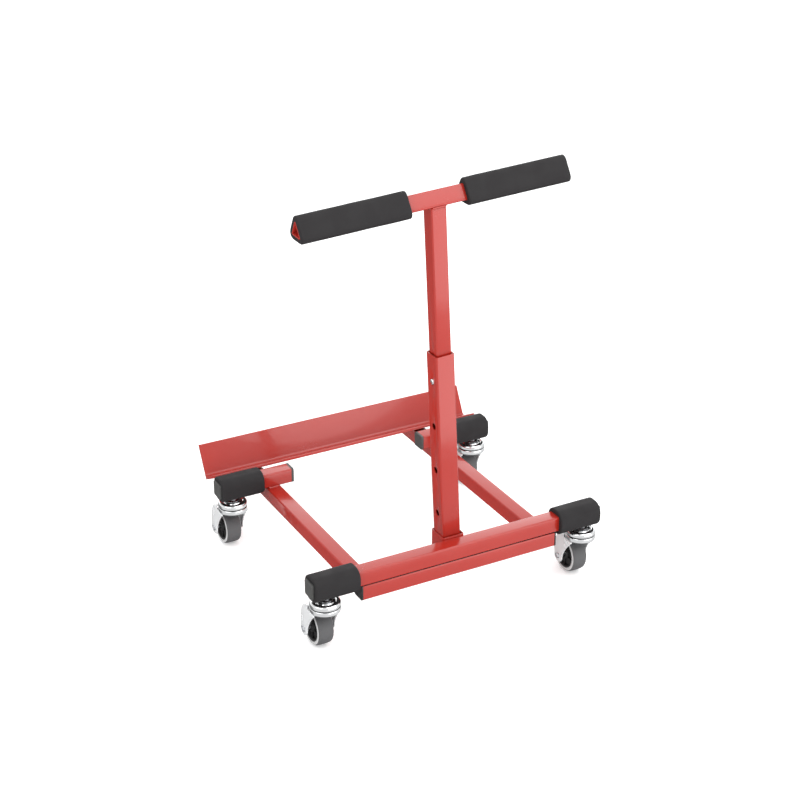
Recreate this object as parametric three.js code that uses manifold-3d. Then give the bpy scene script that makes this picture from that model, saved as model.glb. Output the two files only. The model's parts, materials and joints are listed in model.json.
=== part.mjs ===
// Wheel dolly: a low welded frame of square tube on four swivel casters, with a rear angle iron,
// foam bumpers on the tube ends, and a telescoping T-handle that stands in a socket behind the
// front beam. Millimetres, +Z up, +X to the right along the front beam, +Y to the back.
// The origin is on the floor, under the middle of the frame's outline.
import * as THREE from "three";
import { mergeVertices } from "three/addons/utils/BufferGeometryUtils.js";
import Module from "manifold-3d";

const wasm = await Module();
wasm.setup();

// ---- driving dimensions: frame ----
const tube = 25.4; // side of the frame's square tube
const tubeWall = 2;
const tubeCorner = 2.6; // outside corner radius of the tube
const beamLength = 510; // upper front beam, without its end plugs
const lowerLength = 346; // lower front beam, flush with the outer faces of the side rails
const wheelbase = 353.5; // front beam to rear stubs
const railReach = 91.1; // side rail beyond the back face of the rear stubs
const stubOverhang = 20; // rear stub past the inner face of its side rail
const weldGap = 0.3; // between welded pieces
const flangeThick = 2.2; // black cap on a bare tube end
const plugThick = 4; // square plug on a padded tube end
const stubCapThick = 4; // square plug on the inner end of a rear stub
const plugDepth = 7; // how far every plug reaches into its tube
const plugClearance = 0.3;

// ---- driving dimensions: rear angle iron ----
const angleFrontLeg = 48;
const angleBackLeg = 60.5;
const angleThick = 5;
const angleLength = 504;
const angleTilt = 28; // degrees that the back leg leans back, and the front leg rises
const angleSetback = 52.4; // corner of the angle behind the rear stubs
const angleFillet = 5;

// ---- driving dimensions: foam sleeves on the frame ----
const sleeveLength = 75;
const sleeveFoam = 8.3; // foam round the tube
const sleeveCorner = 17;
const sleeveClearance = 0.3;
const nutRecess = 15; // radius of the hole in the foam round the caster nut

// ---- driving dimensions: casters ----
const stemInset = 23; // caster stem in from the tube's end
const stemRadius = 4.8;
const stemHole = 5.3;
const headRadius = 24.5;
const cupHeight = 8.6; // upper, fixed raceway cup
const raceHeight = 11.4; // lower raceway, part of the fork
const raceGap = 0.6; // running gap between cup and lower raceway
const nutAcross = 17;
const nutHeight = 9.5;
const washerRadius = 12;
const washerThick = 2;
const wheelRadius = 31.5;
const wheelWidth = 27;
const treadThick = 7;
const hubBore = 5.2;
const axleRadius = 4;
const axleHead = 5.4;
const trail = 27; // stem axis to wheel axle
const legThick = 2.4;
const legGap = 1.9; // fork leg to wheel side
const wheelHeadroom = 8; // wheel to the lower raceway
const cowlStart = 14; // pressed cowl, from behind the stem axis
const cowlEnd = 38; // and down to this far above the axle
const legTip = 11.5; // radius of the leg's rounded end
const legFront = -15.5; // front edge of the legs, ahead of the stem axis
const casterYaw = [0, 0, 0, 0]; // degrees each caster is turned

// ---- driving dimensions: socket, post and handle ----
const postClearance = 1.525; // post to socket wall, which lets it lean
const socketWall = 1.65;
const socketProud = 2.5; // rim above the beam
const socketFloor = 3;
const lean = 2.9; // degrees the T-handle leans in its loose socket
const postSide = 31.75;
const postWall = 1.7;
const postCorner = 3;
const postLength = 362;
const postSeat = 0.35; // post bottom to socket floor
const holePitch = 76.2;
const holeCount = 4;
const topHole = 45.5; // highest hole below the top of the post
const holeRadius = 5.3;
const handleClearance = 1.475; // handle to post wall
const handleWall = 1.65;
const handleTail = 22; // handle tube below its button
const barHeight = 605.2; // cross bar's middle above the foot of the post
const barSide = 29.5; // side of the triangular tube, before its corners are rounded
const barCorner = 3;
const barWall = 2;
const barLength = 441;
const gripLength = 174;
const gripFoam = 7.7;
const gripClearance = 0.3;

// ---- driving dimensions: snap button ----
const buttonRadius = 4.8;
const buttonProud = 1.6; // button beyond the post's face
const buttonBore = 5.2; // hole for it in the handle tube and the leaf
const leafThick = 0.8;
const leafWidth = 12;
const leafGap = 0.35; // leaf to the tube wall
const flangeRadius = 5.6; // button's foot behind the leaf
const flangeHeight = 1;

// ---- worked out from the above ----
const rail = { x: lowerLength / 2 - tube / 2, length: wheelbase + railReach };
const stubLength = beamLength / 2 - (rail.x - tube / 2) + stubOverhang; // without its plugs
const stemSpacing = beamLength - 2 * stemInset; // between the left and right casters
const sleeveSide = tube + 2 * sleeveFoam;
const socketSide = postSide + 2 * (postClearance + socketWall);
const handleSide = postSide - 2 * (postWall + handleClearance);
const depthFront = headRadius - tube / 2; // caster heads stand ahead of the beam
const depthBack = tube + rail.length + plugClearance + flangeThick;
const frontY = -(depthBack - depthFront) / 2; // front face of the beams
const beamY = frontY + tube / 2;
const stubY = beamY + wheelbase;
const seamZ = 2 * wheelRadius + wheelHeadroom + raceHeight; // between cup and lower raceway
const headTop = seamZ + cupHeight;
const beamTop = headTop + 2 * raceGap + washerThick + nutHeight + weldGap + tube; // above the floor
const lowerZ = beamTop - 1.5 * tube - weldGap; // middle of the lower level
const upperZ = beamTop - tube / 2;
const wheelSegments = 20;
const smallSegments = 12;

// ---- finishes ----
const paint = new THREE.MeshStandardMaterial({ color: 0xb8352f, roughness: 0.28, metalness: 0 });
const foam = new THREE.MeshStandardMaterial({ color: 0x2c2b2d, roughness: 0.9, metalness: 0 });
const blackPlastic = new THREE.MeshStandardMaterial({ color: 0x19191a, roughness: 0.5, metalness: 0 });
const chrome = new THREE.MeshStandardMaterial({ color: 0xd9dadc, roughness: 0.12, metalness: 1 });
const zinc = new THREE.MeshStandardMaterial({ color: 0xb9bbbe, roughness: 0.3, metalness: 1 });
const treadRubber = new THREE.MeshStandardMaterial({ color: 0x56565a, roughness: 0.7, metalness: 0 });
const hubPlastic = new THREE.MeshStandardMaterial({ color: 0x1d1d1f, roughness: 0.6, metalness: 0 });
const springSteel = new THREE.MeshStandardMaterial({ color: 0x8f9297, roughness: 0.35, metalness: 1 });

// ---- solids ----

// A closed geometry as a manifold-3d solid, with its shared vertices merged.
function solid(geometry) {
  const bare = new THREE.BufferGeometry();
  bare.setAttribute("position", geometry.getAttribute("position"));
  if (geometry.index) bare.setIndex(geometry.index);
  const merged = mergeVertices(bare, 1e-4);
  const vertProperties = merged.getAttribute("position").array;
  const triVerts = new Uint32Array(merged.index.array);
  return new wasm.Manifold(new wasm.Mesh({ numProp: 3, vertProperties, triVerts }));
}

// A solid's surface as a geometry that a mesh can use.
function geometryOf(shape) {
  const { vertProperties, triVerts } = shape.getMesh();
  const geometry = new THREE.BufferGeometry();
  geometry.setAttribute("position", new THREE.BufferAttribute(new Float32Array(vertProperties), 3));
  geometry.setIndex(new THREE.BufferAttribute(new Uint32Array(triVerts), 1));
  const flat = geometry.toNonIndexed();
  flat.computeVertexNormals();
  return flat;
}

// Traces a convex outline, anticlockwise corners [x, y], with every corner rounded to one radius.
function traceRounded(path, corners, radius) {
  const count = corners.length;
  corners.forEach(([x, y], i) => {
    const [px, py] = corners[(i + count - 1) % count];
    const [nx, ny] = corners[(i + 1) % count];
    const into = Math.atan2(y - py, x - px);
    const out = Math.atan2(ny - y, nx - x);
    const turn = THREE.MathUtils.euclideanModulo(out - into, 2 * Math.PI);
    const back = radius / Math.cos(turn / 2); // corner to the arc's centre
    const middle = into + turn / 2 + Math.PI / 2;
    const cx = x + back * Math.cos(middle);
    const cy = y + back * Math.sin(middle);
    path.absarc(cx, cy, radius, into - Math.PI / 2, into + turn - Math.PI / 2, false);
  });
  path.closePath();
  return path;
}

const square = (side) => {
  const h = side / 2;
  return [[-h, -h], [h, -h], [h, h], [-h, h]];
};

// Equal-sided triangle round its own middle, point up.
const triangle = (side) => {
  const inner = side / (2 * Math.sqrt(3));
  return [[-side / 2, -inner], [side / 2, -inner], [0, 2 * inner]];
};

// The corners' polygon, moved outwards by a distance all round.
const grown = (corners, by) => {
  const count = corners.length;
  const factor = 1 / Math.cos(Math.PI / count);
  return corners.map(([x, y]) => {
    const r = Math.hypot(x, y);
    return [x * (1 + (by * factor) / r), y * (1 + (by * factor) / r)];
  });
};

// A prism along Z, centred on the origin, of a rounded outline with an optional rounded bore.
function prism(length, corners, radius, bore, boreRadius, curveSegments = 2) {
  const shape = traceRounded(new THREE.Shape(), corners, radius);
  if (bore) shape.holes.push(traceRounded(new THREE.Path(), bore, boreRadius));
  const geometry = new THREE.ExtrudeGeometry(shape, { depth: length, bevelEnabled: false, curveSegments });
  return geometry.translate(0, 0, -length / 2);
}

// A flat plate between two outlines in the YZ plane, thickness along X, from x to x + thick.
function plateAcross(outline, x, thick, curveSegments = 5) {
  const geometry = new THREE.ExtrudeGeometry(outline, { depth: thick, bevelEnabled: false, curveSegments });
  return geometry.rotateY(Math.PI / 2).rotateX(Math.PI / 2).translate(x, 0, 0);
}

// Turns a piece made along Z to lie along X or Y.
function along(geometry, axis) {
  if (axis === "x") geometry.rotateY(Math.PI / 2).rotateX(Math.PI / 2);
  if (axis === "y") geometry.rotateX(-Math.PI / 2);
  return geometry;
}

// A closed turned piece about Z from [radius, z] points, taken anticlockwise.
function turned(points, segments) {
  const profile = points.map(([r, z]) => new THREE.Vector2(r, z));
  if (THREE.ShapeUtils.isClockWise(profile)) profile.reverse();
  profile.push(profile[0].clone());
  return new THREE.LatheGeometry(profile, segments).rotateX(Math.PI / 2);
}

// A plain round bar about Z between two heights.
function roundBar(radius, low, high, segments = smallSegments) {
  const bar = new THREE.CylinderGeometry(radius, radius, high - low, segments);
  return bar.rotateX(Math.PI / 2).translate(0, 0, (low + high) / 2);
}

const dolly = new THREE.Group();

function addMesh(parent, name, geometry, material, x = 0, y = 0, z = 0) {
  const mesh = new THREE.Mesh(geometry, material);
  mesh.name = name;
  mesh.position.set(x, y, z);
  parent.add(mesh);
  return mesh;
}

const boreSide = tube - 2 * tubeWall;
const squareTube = (length) =>
  prism(length, square(tube), tubeCorner, square(boreSide), tubeCorner - tubeWall);

// ---- welded frame ----

// The upper front beam: one tube with a stem hole near each end of its lower wall.
function buildUpperBeam() {
  let beam = solid(along(squareTube(beamLength), "x"));
  for (const side of [-1, 1]) {
    const drill = roundBar(stemHole, -tube, 0).translate((side * stemSpacing) / 2, 0, 0);
    beam = beam.subtract(solid(drill));
  }
  addMesh(dolly, "front_beam_upper", geometryOf(beam), paint, 0, beamY, upperZ);
}

function buildLowerLevel() {
  const beam = along(squareTube(lowerLength), "x");
  addMesh(dolly, "front_beam_lower", beam, paint, 0, beamY, lowerZ);
  for (const [label, side] of [["left", -1], ["right", 1]]) {
    const piece = along(squareTube(rail.length - weldGap), "y");
    const middle = frontY + tube + weldGap + (rail.length - weldGap) / 2;
    addMesh(dolly, "side_rail_" + label, piece, paint, side * rail.x, middle, lowerZ);
  }
}

function buildRearStubs() {
  for (const [label, side] of [["left", -1], ["right", 1]]) {
    const outer = beamLength / 2;
    const middle = side * (outer - stubLength / 2);
    const drill = roundBar(stemHole, -tube, 0).translate((side * stemSpacing) / 2 - middle, 0, 0);
    const stub = solid(along(squareTube(stubLength), "x")).subtract(solid(drill));
    addMesh(dolly, "rear_stub_" + label, geometryOf(stub), paint, middle, stubY, upperZ);
  }
}

// A plug for a tube end: a square flange and a body that slides into the tube, flange towards +Z.
function plug(thick) {
  const flange = prism(thick, square(tube), tubeCorner).translate(0, 0, plugClearance + thick / 2);
  const side = boreSide - 2 * plugClearance;
  const overlap = plugClearance + thick / 2;
  const body = prism(plugDepth + overlap, square(side), tubeCorner - tubeWall + plugClearance);
  body.translate(0, 0, overlap - (plugDepth + overlap) / 2);
  return solid(flange).add(solid(body));
}

// Places a plug on the tube end at (x, y, z) that faces along a direction.
function addPlug(name, thick, x, y, z, facing) {
  const mesh = addMesh(dolly, name, geometryOf(plug(thick)), blackPlastic, x, y, z);
  if (facing === "left") mesh.rotation.y = -Math.PI / 2;
  if (facing === "right") mesh.rotation.y = Math.PI / 2;
  if (facing === "back") mesh.rotation.x = -Math.PI / 2;
}

function buildPlugs() {
  const outer = beamLength / 2;
  const inner = outer - stubLength;
  const railEnd = frontY + tube + rail.length;
  for (const [label, side, out, inwards] of [["left", -1, "left", "right"], ["right", 1, "right", "left"]]) {
    addPlug("front_plug_" + label, plugThick, side * outer, beamY, upperZ, out);
    addPlug("rear_plug_" + label, plugThick, side * outer, stubY, upperZ, out);
    addPlug("lower_cap_" + label, flangeThick, (side * lowerLength) / 2, beamY, lowerZ, out);
    addPlug("stub_cap_" + label, stubCapThick, side * inner, stubY, upperZ, inwards);
    addPlug("rail_cap_" + label, flangeThick, side * rail.x, railEnd, lowerZ, "back");
  }
}

// The rear angle iron: an L section, corner down, standing on the side rails behind the stubs.
function buildRearAngle() {
  const r = angleFillet;
  const t = angleThick;
  const toe = 1.5; // radius of each leg's inner edge
  const section = new THREE.Shape();
  section.moveTo(0, 0);
  section.lineTo(angleFrontLeg, 0);
  section.lineTo(angleFrontLeg, t - toe);
  section.absarc(angleFrontLeg - toe, t - toe, toe, 0, Math.PI / 2, false);
  section.lineTo(t + r, t);
  section.absarc(t + r, t + r, r, -Math.PI / 2, -Math.PI, true);
  section.lineTo(t, angleBackLeg - toe);
  section.absarc(t - toe, angleBackLeg - toe, toe, 0, Math.PI / 2, false);
  section.lineTo(0, angleBackLeg);
  section.closePath();
  const bar = new THREE.ExtrudeGeometry(section, { depth: angleLength, bevelEnabled: false, curveSegments: 4 });
  bar.translate(0, 0, -angleLength / 2);
  // The section's first leg points forward and up, its second leg back and up.
  along(bar, "x").rotateZ(Math.PI);
  const y = stubY + tube / 2 + angleSetback;
  const mesh = addMesh(dolly, "rear_angle", bar, paint, 0, y, lowerZ + tube / 2 + weldGap);
  mesh.rotation.x = -THREE.MathUtils.degToRad(angleTilt);
}

// ---- foam sleeves ----
function buildSleeves() {
  const bore = square(tube + 2 * sleeveClearance);
  for (const [row, y] of [["front", beamY], ["rear", stubY]]) {
    for (const [label, side] of [["left", -1], ["right", 1]]) {
      const middle = side * (beamLength / 2 - sleeveLength / 2);
      const pad = prism(sleeveLength, square(sleeveSide), sleeveCorner, bore, tubeCorner, 4);
      const recess = roundBar(nutRecess, -sleeveSide, 0, wheelSegments);
      recess.translate((side * stemSpacing) / 2 - middle, 0, 0);
      const sleeve = solid(along(pad, "x")).subtract(solid(recess));
      addMesh(dolly, "foam_sleeve_" + row + "_" + label, geometryOf(sleeve), foam, middle, y, upperZ);
    }
  }
}

// ---- casters ----

// The fixed half of a caster: threaded stem, raceway cup and the kingpin that the fork turns on.
function casterHead() {
  const stemTop = beamTop - tube + tubeWall + nutHeight + 1.5;
  const pinFoot = seamZ - raceHeight + 4;
  return turned(
    [
      [0, pinFoot],
      [7, pinFoot],
      [7, pinFoot + 2],
      [stemRadius, pinFoot + 2],
      [stemRadius, seamZ + 1.5],
      [headRadius - 3, seamZ + 1.5],
      [headRadius - 2, seamZ],
      [headRadius - 0.4, seamZ],
      [headRadius, seamZ + 0.8],
      [headRadius, headTop - 3.6],
      [headRadius - 1.4, headTop - 1.2],
      [headRadius - 4, headTop],
      [stemRadius, headTop],
      [stemRadius, stemTop - 1],
      [stemRadius - 1, stemTop],
      [0, stemTop],
    ],
    wheelSegments,
  );
}

// A hexagon nut with a flange under it, standing on its flange at z = 0.
function stemNut(height, flange) {
  const hex = new THREE.CylinderGeometry(nutAcross / Math.sqrt(3), nutAcross / Math.sqrt(3), height, 6);
  hex.rotateX(Math.PI / 2).translate(0, 0, flange + height / 2);
  let nut = solid(hex);
  if (flange) nut = nut.add(solid(roundBar(washerRadius, 0, flange + height / 4, wheelSegments)));
  return nut.subtract(solid(roundBar(stemRadius + 0.3, -1, flange + height + 1)));
}

// Back edge of the fork in the plane of the wheel, from the raceway down to the axle's height:
// y back, z up, moved inwards by the given amount.
function cowlLine(inwards) {
  const top = seamZ - raceGap - 1.2 - inwards;
  const back = trail + legTip - inwards;
  return new THREE.CubicBezierCurve(
    new THREE.Vector2(cowlStart, top),
    new THREE.Vector2(trail, top - 0.6),
    new THREE.Vector2(back, top - 12),
    new THREE.Vector2(back, wheelRadius + 8),
  ).getPoints(14);
}

// Fork leg outline: a rounded end round the axle, and an edge that curves up to the raceway.
function legOutline() {
  const top = seamZ - raceHeight + 2;
  const leg = new THREE.Shape();
  leg.moveTo(legFront, top);
  leg.lineTo(legFront, top - 2.5);
  leg.bezierCurveTo(-4, top - 5, trail - legTip - 3, wheelRadius + 16, trail - legTip, wheelRadius + 2);
  leg.absarc(trail, wheelRadius, legTip, Math.PI, 2 * Math.PI, false);
  for (const p of cowlLine(0).reverse()) leg.lineTo(p.x, p.y);
  leg.lineTo(cowlStart, top);
  leg.closePath();
  return leg;
}

// The cowl between the legs, as far down as it clears the wheel.
function cowlOutline() {
  const low = wheelRadius + cowlEnd;
  const outer = cowlLine(0).filter((p) => p.y > low);
  const inner = cowlLine(legThick).filter((p) => p.y > low);
  return new THREE.Shape([...outer, ...inner.reverse()]);
}

const legInner = wheelWidth / 2 + legGap;

// The turning half: lower raceway, crown and two legs of pressed steel.
function casterFork() {
  const top = seamZ - raceGap;
  const foot = seamZ - raceHeight;
  const race = turned(
    [
      [stemRadius + 0.6, top - 3.4],
      [stemRadius + 0.6, top],
      [headRadius - 1, top],
      [headRadius, top - 1],
      [headRadius, foot + 2.4],
      [headRadius - 1.6, foot],
      [headRadius - 4.2, foot],
      [headRadius - 4.2, top - 3.4],
    ],
    wheelSegments,
  );
  let fork = solid(race);
  for (const x of [-legInner - legThick, legInner]) {
    fork = fork.add(solid(plateAcross(legOutline(), x, legThick)));
  }
  const span = legInner + legThick;
  fork = fork.add(solid(plateAcross(cowlOutline(), -span, 2 * span)));
  const bore = roundBar(axleRadius + 0.4, -wheelWidth, wheelWidth);
  return fork.subtract(solid(along(bore, "x").translate(0, trail, wheelRadius)));
}

// The axle: a rivet through both legs, with a rounded head on each side.
function axle() {
  const face = legInner + legThick + 0.3;
  const half = [
    [axleRadius, face],
    [axleHead, face],
    [axleHead - 0.6, face + 1],
    [axleHead - 2.4, face + 1.7],
    [0, face + 1.9],
  ];
  const mirrored = half.map(([r, z]) => [r, -z]).reverse();
  return along(turned([...mirrored, ...half], smallSegments), "x");
}

function wheelHub() {
  const rim = wheelRadius - treadThick - 0.3;
  const half = wheelWidth / 2;
  return turned(
    [
      [hubBore, half],
      [9, half],
      [10.5, half - 4],
      [rim - 3.6, half - 4],
      [rim - 2.2, half - 0.6],
      [rim, half - 0.6],
      [rim, 0.6 - half],
      [rim - 2.2, 0.6 - half],
      [rim - 3.6, 4 - half],
      [10.5, 4 - half],
      [9, -half],
      [hubBore, -half],
    ],
    wheelSegments,
  );
}

function wheelTread() {
  const bore = wheelRadius - treadThick;
  const half = wheelWidth / 2;
  return turned(
    [
      [bore, -half + 0.4],
      [wheelRadius - 4.4, -half],
      [wheelRadius - 1.6, -half + 1.2],
      [wheelRadius - 0.4, -half + 4],
      [wheelRadius, -half + 9],
      [wheelRadius, half - 9],
      [wheelRadius - 0.4, half - 4],
      [wheelRadius - 1.6, half - 1.2],
      [wheelRadius - 4.4, half],
      [bore, half - 0.4],
    ],
    wheelSegments,
  );
}

function buildCasters() {
  const places = [
    ["front_left", -1, beamY],
    ["front_right", 1, beamY],
    ["rear_left", -1, stubY],
    ["rear_right", 1, stubY],
  ];
  places.forEach(([label, side, y], i) => {
    const caster = new THREE.Group();
    caster.position.set((side * stemSpacing) / 2, y, 0);
    dolly.add(caster);
    const outerNut = geometryOf(stemNut(nutHeight, washerThick));
    addMesh(caster, "caster_head_" + label, casterHead(), chrome);
    addMesh(caster, "stem_nut_" + label, outerNut, zinc, 0, 0, headTop + raceGap);
    const lockNut = geometryOf(stemNut(nutHeight - 2, 0));
    addMesh(caster, "lock_nut_" + label, lockNut, zinc, 0, 0, beamTop - tube + tubeWall + weldGap);
    const swivel = new THREE.Group();
    swivel.rotation.z = THREE.MathUtils.degToRad(casterYaw[i]);
    caster.add(swivel);
    addMesh(swivel, "caster_fork_" + label, geometryOf(casterFork()), chrome);
    addMesh(swivel, "axle_" + label, axle(), zinc, 0, trail, wheelRadius);
    addMesh(swivel, "wheel_hub_" + label, along(wheelHub(), "x"), hubPlastic, 0, trail, wheelRadius);
    addMesh(swivel, "wheel_tread_" + label, along(wheelTread(), "x"), treadRubber, 0, trail, wheelRadius);
  });
}

// ---- socket and T-handle ----

const socketY = frontY + tube + weldGap + socketSide / 2;
const socketFoot = lowerZ - tube / 2;
const seatZ = socketFoot + socketFloor;

function buildSocket() {
  const height = beamTop + socketProud - socketFoot;
  const bore = socketSide - 2 * socketWall;
  const sleeve = solid(prism(height, square(socketSide), 3, square(bore), 3 - socketWall));
  const base = prism(socketFloor, square(bore + socketWall), 1.5);
  base.translate(0, 0, (socketFloor - height) / 2);
  const drain = roundBar(6, -height, 0);
  const socket = sleeve.add(solid(base)).subtract(solid(drain));
  addMesh(dolly, "post_socket", geometryOf(socket), paint, 0, socketY, (beamTop + socketProud + socketFoot) / 2);
}

// The leaning frame of the T-handle: its origin is on the post's axis at the foot of the post.
const handleGroup = new THREE.Group();

function placeHandleGroup() {
  const tilt = THREE.MathUtils.degToRad(lean);
  const engaged = beamTop + socketProud - seatZ;
  const dip = (postSide / 2) * Math.sin(tilt); // the lower edge of the tilted foot
  handleGroup.position.set((engaged / 2) * Math.sin(tilt), socketY, seatZ + postSeat + dip);
  handleGroup.rotation.y = -tilt;
  dolly.add(handleGroup);
}

const buttonZ = postLength - topHole; // at the highest hole
const tailZ = buttonZ - handleTail; // lower end of the handle tube

function buildPost() {
  const bore = postSide - 2 * postWall;
  let post = solid(prism(postLength, square(postSide), postCorner, square(bore), postCorner - postWall));
  for (let i = 0; i < holeCount; i++) {
    const drill = along(roundBar(holeRadius, -postSide, 0), "x");
    drill.translate(0, 0, postLength / 2 - topHole - i * holePitch);
    post = post.subtract(solid(drill));
  }
  addMesh(handleGroup, "post_tube", geometryOf(post), paint, 0, 0, postLength / 2);
}

function buildHandleTube() {
  const top = barHeight - barSide / (2 * Math.sqrt(3)) - weldGap;
  const length = top - tailZ;
  const bore = handleSide - 2 * handleWall;
  const body = solid(prism(length, square(handleSide), tubeCorner, square(bore), tubeCorner - handleWall));
  const drill = along(roundBar(buttonBore, -handleSide, 0), "x");
  drill.translate(0, 0, handleTail - length / 2);
  addMesh(handleGroup, "handle_tube", geometryOf(body.subtract(solid(drill))), paint, 0, 0, (top + tailZ) / 2);
}

function buildCrossBar() {
  const outer = triangle(barSide);
  const bar = prism(barLength, outer, barCorner, grown(outer, -barWall), barCorner - barWall);
  addMesh(handleGroup, "cross_bar", along(bar, "x"), paint, 0, 0, barHeight);
  for (const [label, side] of [["left", -1], ["right", 1]]) {
    const skin = grown(outer, gripFoam);
    const bore = grown(outer, gripClearance);
    const grip = prism(gripLength, skin, barCorner + gripFoam, bore, barCorner + gripClearance, 5);
    const middle = side * (barLength / 2 - gripLength / 2);
    addMesh(handleGroup, "foam_grip_" + label, along(grip, "x"), foam, middle, 0, barHeight);
  }
}

// A bent leaf inside the handle tube; its left limb carries the button.
function buildSnapButton() {
  const limb = handleSide / 2 - handleWall - leafGap; // outer face of each limb
  const bend = limb; // outer radius of the bend
  const rise = 16; // bend's centre above the button
  const leaf = new THREE.Shape();
  leaf.moveTo(-limb, -12);
  leaf.lineTo(-limb + leafThick, -12);
  leaf.lineTo(-limb + leafThick, rise);
  leaf.absarc(0, rise, bend - leafThick, Math.PI, 0, true);
  leaf.lineTo(limb - leafThick, -4);
  leaf.lineTo(limb, -4);
  leaf.lineTo(limb, rise);
  leaf.absarc(0, rise, bend, 0, Math.PI, false);
  leaf.closePath();
  const strip = new THREE.ExtrudeGeometry(leaf, { depth: leafWidth, bevelEnabled: false, curveSegments: 10 });
  strip.rotateX(Math.PI / 2).translate(0, leafWidth / 2, 0);
  const hole = along(roundBar(buttonBore, -limb - 1, -limb + leafThick + 1), "x");
  const spring = solid(strip).subtract(solid(hole));
  addMesh(handleGroup, "button_spring", geometryOf(spring), springSteel, 0, 0, buttonZ);

  const face = postSide / 2 + buttonProud;
  const footFace = limb - leafThick - 0.3;
  const button = turned(
    [
      [0, footFace - flangeHeight],
      [flangeRadius, footFace - flangeHeight],
      [flangeRadius, footFace],
      [buttonRadius, footFace],
      [buttonRadius, face - 2.2],
      [buttonRadius - 0.8, face - 0.8],
      [buttonRadius - 2.4, face - 0.1],
      [0, face],
    ],
    smallSegments,
  );
  button.rotateY(-Math.PI / 2);
  addMesh(handleGroup, "snap_button", button, chrome, 0, 0, buttonZ);
}

buildUpperBeam();
buildLowerLevel();
buildRearStubs();
buildPlugs();
buildRearAngle();
buildSleeves();
buildCasters();
buildSocket();
placeHandleGroup();
buildPost();
buildHandleTube();
buildCrossBar();
buildSnapButton();

export default dolly;
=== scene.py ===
"""Looks for a wheel dolly: a welded frame of square tube on four casters, with a telescoping T-handle.

The file is laid out as an add-on: one operator makes each piece or group of like pieces.
"""

import json
import math
from contextlib import contextmanager

import bmesh
import bpy
from mathutils import Matrix, Vector


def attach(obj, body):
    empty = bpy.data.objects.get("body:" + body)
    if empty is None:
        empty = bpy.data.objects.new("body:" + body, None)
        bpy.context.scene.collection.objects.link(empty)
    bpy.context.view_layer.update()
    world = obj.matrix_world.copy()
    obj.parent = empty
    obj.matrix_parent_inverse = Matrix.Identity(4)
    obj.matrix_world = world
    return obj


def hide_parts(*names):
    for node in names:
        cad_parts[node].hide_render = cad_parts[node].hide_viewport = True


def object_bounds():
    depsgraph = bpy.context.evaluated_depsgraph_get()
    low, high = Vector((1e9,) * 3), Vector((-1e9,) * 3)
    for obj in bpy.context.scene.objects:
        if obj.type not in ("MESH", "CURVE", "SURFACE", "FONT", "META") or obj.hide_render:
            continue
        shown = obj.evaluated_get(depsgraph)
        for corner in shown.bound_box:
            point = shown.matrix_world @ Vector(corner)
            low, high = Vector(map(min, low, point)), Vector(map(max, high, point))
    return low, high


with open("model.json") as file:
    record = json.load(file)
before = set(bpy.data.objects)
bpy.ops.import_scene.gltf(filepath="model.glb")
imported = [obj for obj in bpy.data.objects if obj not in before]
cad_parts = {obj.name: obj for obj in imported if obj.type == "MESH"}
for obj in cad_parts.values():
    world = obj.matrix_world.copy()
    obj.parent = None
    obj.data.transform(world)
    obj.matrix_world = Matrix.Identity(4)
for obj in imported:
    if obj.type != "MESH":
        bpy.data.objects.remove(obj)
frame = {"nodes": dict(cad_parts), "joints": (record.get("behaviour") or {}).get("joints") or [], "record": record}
CAD_BOX = [list(corner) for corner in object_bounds()]

bl_info = {
    "name": "Wheel dolly",
    "version": (1, 0, 0),
    "blender": (4, 5, 0),
    "location": "3D View > Sidebar > Dolly",
    "description": "Builds the visible pieces and the stage of a wheel dolly",
    "category": "Object",
}

MM = 0.001
SIDES = ("left", "right")
CORNERS = ("front_left", "front_right", "rear_left", "rear_right")
X, Y, Z = range(3)
UP = Vector((0, 0, 1))


# ---- what the frame says ----


def joint(name):
    return next(j for j in frame["joints"] if j["name"] == name)


def mount(name):
    return next(m for m in frame["record"]["mounts"] if m["name"] == name)


BODY_OF = {
    node: body
    for body, nodes in frame["record"]["behaviour"]["bodies"].items()
    for node in nodes
}
STRAIGHT = Matrix.Identity(3)
# The T-handle leans in its socket: this turns an upright handle into the leaning one.
LEAN = UP.rotation_difference(Vector(joint("post_lift")["axis"])).to_matrix()
# The angle iron is tilted: this turns a level one, its back leg upright, into place.
TILT = Vector((0, -1, 0)).rotation_difference(Vector(mount("angle_back_leg")["axis"])).to_matrix()


def box_in(node, turn=STRAIGHT):
    """A node's lowest and highest corners before it was turned."""
    back = turn.transposed()
    places = [back @ v.co for v in frame["nodes"][node].data.vertices]
    low = Vector(min(p[i] for p in places) for i in range(3))
    high = Vector(max(p[i] for p in places) for i in range(3))
    return low, high


# Where the two front beams meet; the red paint has painted shade along this seam.
BEAM_SEAM = (0, box_in("front_beam_lower")[1][Y], box_in("front_beam_lower")[1][Z])
# Levels of the groove between the raceways and of the turn under the lower one, where the chrome has painted
# shade.
RACE_SEAM = box_in("caster_fork_front_left")[1][Z] + 0.3 * MM
RACE_FOOT = RACE_SEAM - 11 * MM


# ---- sizes and colours that a user may change ----


def length(name, description, default_mm):
    return bpy.props.FloatProperty(
        name=name, description=description, default=default_mm * MM, min=0, unit="LENGTH", precision=5
    )


def colour(name, description, default):
    return bpy.props.FloatVectorProperty(
        name=name, description=description, default=default, min=0, max=1, size=3, subtype="COLOR"
    )


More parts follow.
